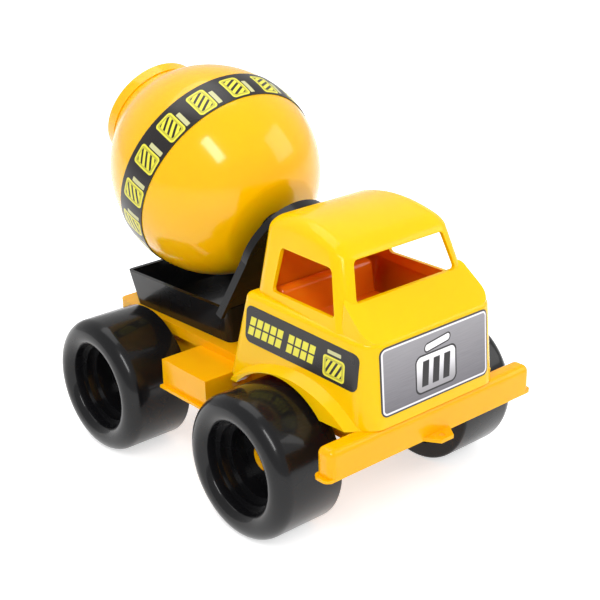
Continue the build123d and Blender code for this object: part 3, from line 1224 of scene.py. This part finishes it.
@dataclass(frozen=True)
class CabLabels:
    """The printed films on the cab's sides and front, cut from a thin skin over its lower body."""

    shell: CabShell
    side_film: SideFilm
    front_film: FrontFilm
    skin: float = 0.25
    gap: float = 0.02
    corner: float = 5.0
    depth: float = 30.0
    side_start: float = -50.0
    side_half_length: float = 51.5
    side_half_height: float = 13.0
    front_start: float = -85.0

    def skinned(self, name: str, block: Form, material: bpy.types.Material) -> bpy.types.Object:
        """Keeps what a block shares with the skin.

        Args:
            name: the film's name.
            block: a block through the skin, with the film's outline.
            material: the film's finish.

        Returns:
            The film.
        """
        film = block.model(name, (material,))
        combine(film, self.shell.lower(-self.skin), Merge.SHARE, (material,))
        combine(film, self.shell.lower(-self.gap), Merge.CUT, (material,))
        return film

    def side(self, side: Side, material: bpy.types.Material) -> bpy.types.Object:
        """The film on one side, cut on the right and mirrored for the left.

        Args:
            side: the side it lies on.
            material: its finish.

        Returns:
            The film.
        """
        slope = self.side_film.slope
        middle = Vector((self.side_start, self.side_film.behind_axle / MM, self.side_film.height / MM))
        length = Vector((0, math.cos(slope), math.sin(slope))) * self.side_half_length
        height = Vector((0, -math.sin(slope), math.cos(slope))) * self.side_half_height
        corners = [middle - length - height, middle + length - height,
                   middle + length + height, middle - length + height]
        film = self.skinned("side_film", Form.prism(corners, Vector((-self.depth, 0, 0)), self.corner),
                            material)
        if side is Side.LEFT:
            film.data.transform(Matrix.Scale(-1, 4, (1, 0, 0)))
            film.data.flip_normals()
        return film

    def front(self, material: bpy.types.Material) -> bpy.types.Object:
        """The silver film on the front.

        Args:
            material: its finish.

        Returns:
            The film.
        """
        half = self.front_film.half_width / MM
        low = (self.front_film.height - self.front_film.half_height) / MM
        high = (self.front_film.height + self.front_film.half_height) / MM
        corners = [(-half, self.front_start, low), (half, self.front_start, low),
                   (half, self.front_start, high), (-half, self.front_start, high)]
        return self.skinned("front_film", Form.prism(corners, Vector((0, self.depth, 0)), self.corner),
                            material)


@dataclass(frozen=True)
class Bench:
    """The seat inside the cab: a rounded bench with a leaning back."""

    half_width: float = 42.0
    front: float = -18.0
    rear: float = 36.0
    foot: float = 88.0
    cushion: float = 128.0
    head: float = 150.0
    back_root: float = 23.0
    back_top: float = 27.0
    edge: float = 4.0
    near: float = 2.0

    def rounded(self, edge: bmesh.types.BMEdge) -> bool:
        """Whether an edge is one of the upper ones, apart from the fold before the back.

        Args:
            edge: the edge.

        Returns:
            True if it is rounded off.
        """
        ends = [vert.co for vert in edge.verts]
        in_fold = all(abs(end.y - self.back_root) < self.near and end.z < self.cushion + self.near
                      for end in ends)
        return (ends[0].z + ends[1].z) / 2 > self.cushion - self.near and not in_fold

    def model(self, material: bpy.types.Material) -> bpy.types.Object:
        """Makes the bench.

        Args:
            material: its finish, the deep orange of the cab's inside, which is painted shade.

        Returns:
            The bench.
        """
        outline = [(self.front, self.foot), (self.rear, self.foot), (self.rear, self.head),
                   (self.back_top, self.head), (self.back_root, self.cushion), (self.front, self.cushion)]
        form = Form.prism([(-self.half_width, y, z) for y, z in outline],
                          Vector((2 * self.half_width, 0, 0)), 0)
        form.round_off([edge for edge in form.mesh.edges if self.rounded(edge)], self.edge,
                       form.corner_steps)
        return form.model("seat", (material,))


@dataclass(frozen=True)
class WheelSet:
    """An axle's turned pieces: wide wheels with deep stepped dishes, round-edged caps and a steel rod."""

    radius: float = 50.0
    flats: int = 160
    inner_face: float = 57.5
    recess_floor: float = 66.5
    recess_radius: float = 38.0
    hub_radius: float = 14.0
    bore: float = 3.05
    dish_floor: float = 78.5
    dish_radius: float = 25.7
    dish_rings: tuple[float, ...] = (89.8, 96.8)
    ring_step: float = 3.0
    outer_face: float = 104.8
    lip_centre: float = 101.005
    lip_turn: float = 63.46
    lip_steps: int = 8
    shoulder_centre: float = 98.8
    shoulder_out: float = 39.3
    shoulder_steps: int = 10
    inner_edge: float = 2.0
    inner_edge_steps: int = 4
    cap_foot: float = 79.0
    cap_head: float = 84.0
    cap_radius: float = 10.0
    cap_edge: float = 2.0
    cap_edge_steps: int = 6
    cap_flats: int = 64
    rod_half: float = 82.5
    rod_radius: float = 3.0
    rod_bevel: float = 0.6
    rod_flats: int = 48

    def turned(self, outline: Profile, sign: int, axle_y: float, flats: int) -> Form:
        """Turns an outline about an axle, drawn outwards on one side of the truck."""
        return Form.turned(outline, Vector((0, axle_y, self.radius)), Vector((sign, 0, 0)),
                           Vector((0, 0, 1)), flats)

    def wheel(self, side: Side, axle_y: float, material: bpy.types.Material) -> bpy.types.Object:
        """Wide wheel with a round shoulder and a deep stepped dish.

        Args:
            side: the side it is on.
            axle_y: how far its axle is behind the front one.
            material: its finish.

        Returns:
            The wheel.
        """
        outline = Profile(self.inner_face, self.recess_radius)
        outline.line((self.recess_floor, self.recess_radius), (self.recess_floor, self.hub_radius),
                     (self.inner_face, self.hub_radius), (self.inner_face, self.bore),
                     (self.dish_floor, self.bore), (self.dish_floor, self.dish_radius))
        ring_radius = self.dish_radius
        for ring in self.dish_rings:
            outline.line((ring, ring_radius), (ring, ring_radius + self.ring_step))
            ring_radius += self.ring_step
        outline.line((self.outer_face, ring_radius))
        outline.arc(self.lip_centre, self.shoulder_out, self.lip_turn, self.lip_steps)
        outline.arc(self.shoulder_centre, self.shoulder_out, 90, self.shoulder_steps)
        edge = self.inner_face + self.inner_edge
        outline.line((edge, self.radius)).arc(edge, self.radius - self.inner_edge, 90, self.inner_edge_steps)
        outline.line((self.inner_face, self.recess_radius))
        return self.turned(outline, side.value, axle_y, self.flats).model("wheel", (material,))

    def cap(self, side: Side, axle_y: float, material: bpy.types.Material) -> bpy.types.Object:
        """Round-edged cap on an axle's end.

        Args:
            side: the side it is on.
            axle_y: how far its axle is behind the front one.
            material: its finish.

        Returns:
            The cap.
        """
        edge = self.cap_head - self.cap_edge
        outline = Profile(self.cap_foot, 0.0).line((self.cap_foot, self.cap_radius), (edge, self.cap_radius))
        outline.arc(edge, self.cap_radius - self.cap_edge, -90, self.cap_edge_steps)
        outline.line((self.cap_head, 0.0))
        return self.turned(outline, side.value, axle_y, self.cap_flats).model("hub_cap", (material,))

    def rod(self, axle_y: float, material: bpy.types.Material) -> bpy.types.Object:
        """Steel rod with bevelled ends.

        Args:
            axle_y: how far the axle is behind the front one.
            material: its finish.

        Returns:
            The rod.
        """
        half, shoulder = self.rod_half, self.rod_half - self.rod_bevel
        end = self.rod_radius - self.rod_bevel
        outline = Profile(-half, 0.0).line((-half, end), (-shoulder, self.rod_radius),
                                           (shoulder, self.rod_radius), (half, end), (half, 0.0))
        return self.turned(outline, 1, axle_y, self.rod_flats).model("axle_rod", (material,))


@dataclass(frozen=True)
class DrumAxis:
    """The tilted line that the drum turns about, with the drum's centre on it."""

    centre: Vector
    axis: Vector

    def at(self, along: float, across: float, up: float) -> Vector:
        """Place at distances along, across and over the axis."""
        outward = Vector((1, 0, 0))
        return self.centre + self.axis * along + outward * across + outward.cross(self.axis) * up


@dataclass(frozen=True)
class Drum:
    """The drum's two thin shells and the band over their joint."""

    line: DrumAxis
    flats: int = 192
    radius: float = 75.2
    wall: float = 2.2
    arc_steps: int = 24
    nose: float = -66.0
    nose_turn: float = 61.36
    nose_inside: tuple[float, float] = (-63.8, 35.2)
    nose_inside_turn: float = 61.12
    pin_hole: float = 5.1
    rear_arc_centre: float = -16.53
    rear_turn: float = 34.69
    rear_inside_turn: float = 34.4
    rear_steps: int = 16
    mouth: tuple[tuple[float, float], ...] = ((70.0, 44.3), (75.0, 40.6), (75.0, 41.4), (83.4, 41.4),
                                              (84.0, 40.8), (84.0, 39.2), (73.4, 39.2), (68.6, 42.6),
                                              (50.8, 57.2))
    band_radius: float = 75.85
    band_turn: float = 9.87
    band_steps: int = 8
    band_front: tuple[tuple[float, float], ...] = ((-12.9, 74.1), (-12.7, 73.6))
    band_rear: tuple[tuple[float, float], ...] = ((12.9, 73.9), (13.0, 74.9), (8.0, 75.5), (4.0, 75.77))

    def turned(self, outline: Profile, name: str, material: bpy.types.Material) -> bpy.types.Object:
        """Turns an outline about the drum's axis."""
        form = Form.turned(outline, self.line.centre, self.line.axis, Vector((1, 0, 0)), self.flats)
        return form.model(name, (material,))

    def front_shell(self, material: bpy.types.Material) -> bpy.types.Object:
        """Round front half with its flat nose.

        Args:
            material: its finish.

        Returns:
            The front half.
        """
        outline = Profile(0, self.radius).arc(0, 0, self.nose_turn, self.arc_steps)
        outline.line((self.nose, self.pin_hole), (self.nose_inside[0], self.pin_hole), self.nose_inside)
        outline.arc(0, 0, -self.nose_inside_turn, self.arc_steps).line((0, self.radius))
        return self.turned(outline, "drum_front_shell", material)

    def rear_shell(self, material: bpy.types.Material) -> bpy.types.Object:
        """Rear half with its cone and its lipped mouth.

        Args:
            material: its finish.

        Returns:
            The rear half.
        """
        outline = Profile(0, self.radius).arc(0, self.rear_arc_centre, -self.rear_turn, self.rear_steps)
        outline.line(*self.mouth).arc(0, self.rear_arc_centre, self.rear_inside_turn, self.rear_steps)
        outline.line((0, self.radius - self.wall), (0, self.radius))
        return self.turned(outline, "drum_rear_shell", material)

    def band(self, material: bpy.types.Material) -> bpy.types.Object:
        """Thin printed band over the joint of the halves.

        Args:
            material: its finish.

        Returns:
            The band.
        """
        outline = Profile(0, self.band_radius).arc(0, 0, self.band_turn, self.band_steps)
        outline.line(*self.band_front).arc(0, 0, -self.band_turn, self.band_steps)
        outline.line(*self.band_rear, (0, self.band_radius))
        return self.turned(outline, "drum_band_film", material)


@dataclass(frozen=True)
class Cradle:
    """The black tray on the deck, with the arched tower and the boss that hold the drum's nose."""

    line: DrumAxis
    foot: Section = Section(93.5, 45.0, 50.0, 81.0, 190.0)
    rim: Section = Section(119.6, 47.0, 53.5, 81.0, 196.0)
    corner: float = 5.0
    wall: float = 3.0
    floor_height: float = 96.5
    open_height: float = 121.0
    tower_place: float = -90.0
    tower_depth: float = 6.0
    arch_centre: float = -5.84
    arch_radius: float = 39.8
    arch_flats: int = 144
    spare: float = 0.01
    shoulder_half: float = 39.9
    shoulder_up: float = -6.4
    root_half: float = 49.96
    root_up: float = -52.0
    boss_place: float = -86.0
    boss_radius: float = 12.0
    boss_depth: float = 19.0
    boss_flats: int = 64

    def round_bar(self, place: Vector, radius: float, depth: float, flats: int) -> Form:
        """Cylinder along the drum's axis."""
        return Form.disc(place, self.line.axis, radius, radius, depth, flats)

    def model(self, material: bpy.types.Material) -> bpy.types.Object:
        """Makes the cradle.

        Args:
            material: its finish.

        Returns:
            The cradle.
        """
        tray = Form.column(self.foot, self.rim, 0, self.corner, self.corner)
        piece = tray.model("cradle", (material,))
        hollow = Form.column(self.foot.towards(self.rim, self.floor_height),
                             self.foot.towards(self.rim, self.open_height),
                             self.wall, self.corner, self.corner)
        combine(piece, hollow, Merge.CUT)
        arch_at = self.line.at(self.tower_place, 0, self.arch_centre)
        combine(piece, self.round_bar(arch_at, self.arch_radius, self.tower_depth, self.arch_flats),
                Merge.JOIN)
        start = self.tower_place - self.spare
        corners = [self.line.at(start, -self.shoulder_half, self.shoulder_up),
                   self.line.at(start, self.shoulder_half, self.shoulder_up),
                   self.line.at(start, self.root_half, self.root_up),
                   self.line.at(start, -self.root_half, self.root_up)]
        tower = Form.prism(corners, self.line.axis * (self.tower_depth + 2 * self.spare), 0)
        combine(piece, tower, Merge.JOIN)
        boss_at = self.line.at(self.boss_place, 0, 0)
        combine(piece, self.round_bar(boss_at, self.boss_radius, self.boss_depth, self.boss_flats),
                Merge.JOIN)
        return piece


@dataclass(frozen=True)
class Softbox:
    """A rectangular lamp, with its place and size in metres and its power in watts."""

    name: str
    place: tuple[float, float, float]
    width: float
    length: float
    power: float
    roll: float = 0.0

    def hang(self, target: Vector) -> None:
        """Adds the lamp, facing a target.

        Args:
            target: the place that it faces.
        """
        light = bpy.data.lights.new(self.name, "AREA")
        light.shape = "RECTANGLE"
        light.size = self.width
        light.size_y = self.length
        light.energy = self.power
        lamp = bpy.data.objects.new(self.name, light)
        lamp.location = self.place
        facing = (target - Vector(self.place)).to_track_quat("-Z", "Y")
        lamp.rotation_mode = "QUATERNION"
        lamp.rotation_quaternion = facing @ Quaternion((0, 0, 1), self.roll)
        bpy.context.scene.collection.objects.link(lamp)


@dataclass(frozen=True)
class Studio:
    """The camera at the photograph's angle, soft lamps, a pale world and a pale floor."""

    azimuth: float = math.radians(-40.3445)
    elevation: float = math.radians(22.4682)
    roll: float = math.radians(-1.1210)
    distance: float = 935.83 * MM
    target: Vector = Vector((6.476 * MM, -11.99 * MM, 116.97 * MM))
    lens: float = 78.861
    sensor: float = 36.0
    world_light: float = 0.72
    world_shown: float = 1.0
    floor_half: float = 6.0
    floor_colour: Colour = (0.9, 0.9, 0.9, 1.0)
    floor_roughness: float = 0.7
    floor_shown: float = 0.6
    lamps: tuple[Softbox, ...] = (
        Softbox("key_softbox", (-0.9, -0.95, 1.35), 0.32, 0.95, 12.0, math.radians(40)),
        Softbox("fill_softbox", (1.3, -1.1, 1.0), 0.9, 0.9, 6.0),
        Softbox("top_softbox", (0.0, 0.5, 1.7), 1.2, 1.2, 8.5),
    )

    def build(self) -> None:
        """Makes the camera, the world, the floor and the lamps."""
        self.camera()
        self.world()
        self.floor()
        for lamp in self.lamps:
            lamp.hang(self.target)

    def camera(self) -> None:
        """Places the camera and makes it the scene's."""
        back = Vector((math.sin(self.azimuth) * math.cos(self.elevation),
                       -math.cos(self.azimuth) * math.cos(self.elevation), math.sin(self.elevation)))
        level_right = Vector((math.cos(self.azimuth), math.sin(self.azimuth), 0))
        level_up = back.cross(level_right)
        right = level_right * math.cos(self.roll) + level_up * math.sin(self.roll)
        upward = level_up * math.cos(self.roll) - level_right * math.sin(self.roll)
        view = bpy.data.objects.new("camera", bpy.data.cameras.new("camera"))
        view.data.lens = self.lens
        view.data.sensor_width = self.sensor
        place = self.target + back * self.distance
        view.matrix_world = Matrix.Translation(place) @ Matrix((right, upward, back)).transposed().to_4x4()
        bpy.context.scene.collection.objects.link(view)
        bpy.context.scene.camera = view

    def world(self) -> None:
        """A plain pale world that lights evenly and shows white behind the truck."""
        world = bpy.data.worlds.new("studio")
        bpy.context.scene.world = world
        world.use_nodes = True
        graph = Graph(world.node_tree)
        lit, seen = (graph.node("ShaderNodeBackground", {}, {"Color": WHITE, "Strength": strength})
                     for strength in (self.world_light, self.world_shown))
        graph.end("ShaderNodeOutputWorld",
                  graph.node("ShaderNodeMixShader", {}, {0: graph.ray("Is Camera Ray"), 1: lit, 2: seen}))

    def floor(self) -> None:
        """A pale floor that keeps the truck's soft shadow."""
        shape = bmesh.new()
        bmesh.ops.create_grid(shape, x_segments=1, y_segments=1, size=self.floor_half)
        mesh = bpy.data.meshes.new("floor")
        shape.to_mesh(mesh)
        shape.free()
        floor = bpy.data.objects.new("floor", mesh)
        bpy.context.scene.collection.objects.link(floor)
        graph = Surface("pale_floor")
        seen = graph.ray("Is Camera Ray")
        for kind in ("Is Glossy Ray", "Is Transmission Ray"):
            seen = seen.larger(graph.ray(kind))
        mesh.materials.append(graph.finished({
            "Base Color": self.floor_colour,
            "Roughness": self.floor_roughness,
            "Emission Color": graph.mix(seen, BLACK, WHITE),
            "Emission Strength": self.floor_shown,
        }))
        floor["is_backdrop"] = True


def main() -> None:
    """Builds the studio and the truck's pieces, puts them in the frame and dresses every node."""
    logging.basicConfig(level=logging.INFO, format="%(name)s: %(message)s")
    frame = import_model()
    frame_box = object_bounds()
    bpy.context.scene.view_settings.view_transform = "Standard"
    Studio().build()
    amber = WarmPlastic("amber_plastic", screen_colour(254, 182, 0), screen_colour(252, 170, 0)).material()
    yellow = WarmPlastic("yellow_plastic", screen_colour(255, 201, 0), screen_colour(253, 190, 0)).material()
    drum_yellow = WarmPlastic("drum_plastic", screen_colour(255, 192, 0), screen_colour(254, 182, 0),
                              coat=0.55, coat_roughness=0.1).material()
    # The cab's inside walls and seat are the same yellow plastic as the cab. Their deep orange is painted
    # shade, for the shadow inside the cab.
    inside = MouldedPlastic("inside_plastic", screen_colour(255, 138, 16), screen_colour(252, 108, 12),
                            coat=0.2, glow=0.35).material()
    black = MouldedPlastic("black_plastic", screen_colour(17, 17, 19), screen_colour(12, 12, 14),
                           roughness=0.27, coat=0.3, specular=0.15).material()
    steel = SteelRod().material()
    joints = {joint["name"]: joint for joint in frame["joints"]}
    axle = Vector(joints["roll_front_left"]["pos_m"])
    rear_axle = Vector(joints["roll_rear_left"]["pos_m"]).y / MM - axle.y / MM
    turn = joints["drum_turn"]
    side_film, front_film = SideFilm(), FrontFilm()
    finishes = {
        "cab": yellow, "cab_seat": inside, "chassis": amber, "drum_front": drum_yellow,
        "drum_rear": drum_yellow,
        "drum_band": BandFilm().material(Vector(turn["pos_m"]), Vector(turn["axis"])),
        "drum_cradle": black, "drum_pin": black, "axle_front": steel, "axle_rear": steel,
        "label_front": front_film.material(),
        "label_side_left": side_film.material(Side.LEFT, axle),
        "label_side_right": side_film.material(Side.RIGHT, axle),
    }
    line = DrumAxis(Vector(turn["pos_m"]) / MM - Vector((0, axle.y / MM, 0)), Vector(turn["axis"]))
    shell, drum, wheels = CabShell(), Drum(line), WheelSet()
    labels = CabLabels(shell, side_film, front_film)
    pieces = {
        "cab": shell.model(yellow, inside),
        "cab_seat": Bench().model(inside),
        "label_front": labels.front(finishes["label_front"]),
        "label_side_left": labels.side(Side.LEFT, finishes["label_side_left"]),
        "label_side_right": labels.side(Side.RIGHT, finishes["label_side_right"]),
        "drum_front": drum.front_shell(drum_yellow),
        "drum_rear": drum.rear_shell(drum_yellow),
        "drum_band": drum.band(finishes["drum_band"]),
        "drum_cradle": Cradle(line).model(black),
        "axle_front": wheels.rod(0, steel),
        "axle_rear": wheels.rod(rear_axle, steel),
    }
    for end, behind in ((End.FRONT, 0), (End.REAR, rear_axle)):
        for side in Side:
            place = f"{end.value}_{side.name.lower()}"
            pieces[f"wheel_{place}"] = wheels.wheel(side, behind, black)
            pieces[f"hub_cap_{place}"] = wheels.cap(side, behind, amber)
    for name, piece in pieces.items():
        body = frame["nodes"][name].parent.name.removeprefix("body:")
        LOG.info("%s rides on %s", name, body)
        settle(piece, axle.y, body, name)
    for name, node in frame["nodes"].items():
        dress(node, finishes.get(name, amber if name.startswith("hub_cap") else black))
        LOG.info("dressed %s", name)
    sizes = [[list(corner) for corner in box] for box in (frame_box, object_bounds())]


if __name__ == "__main__":
    main()
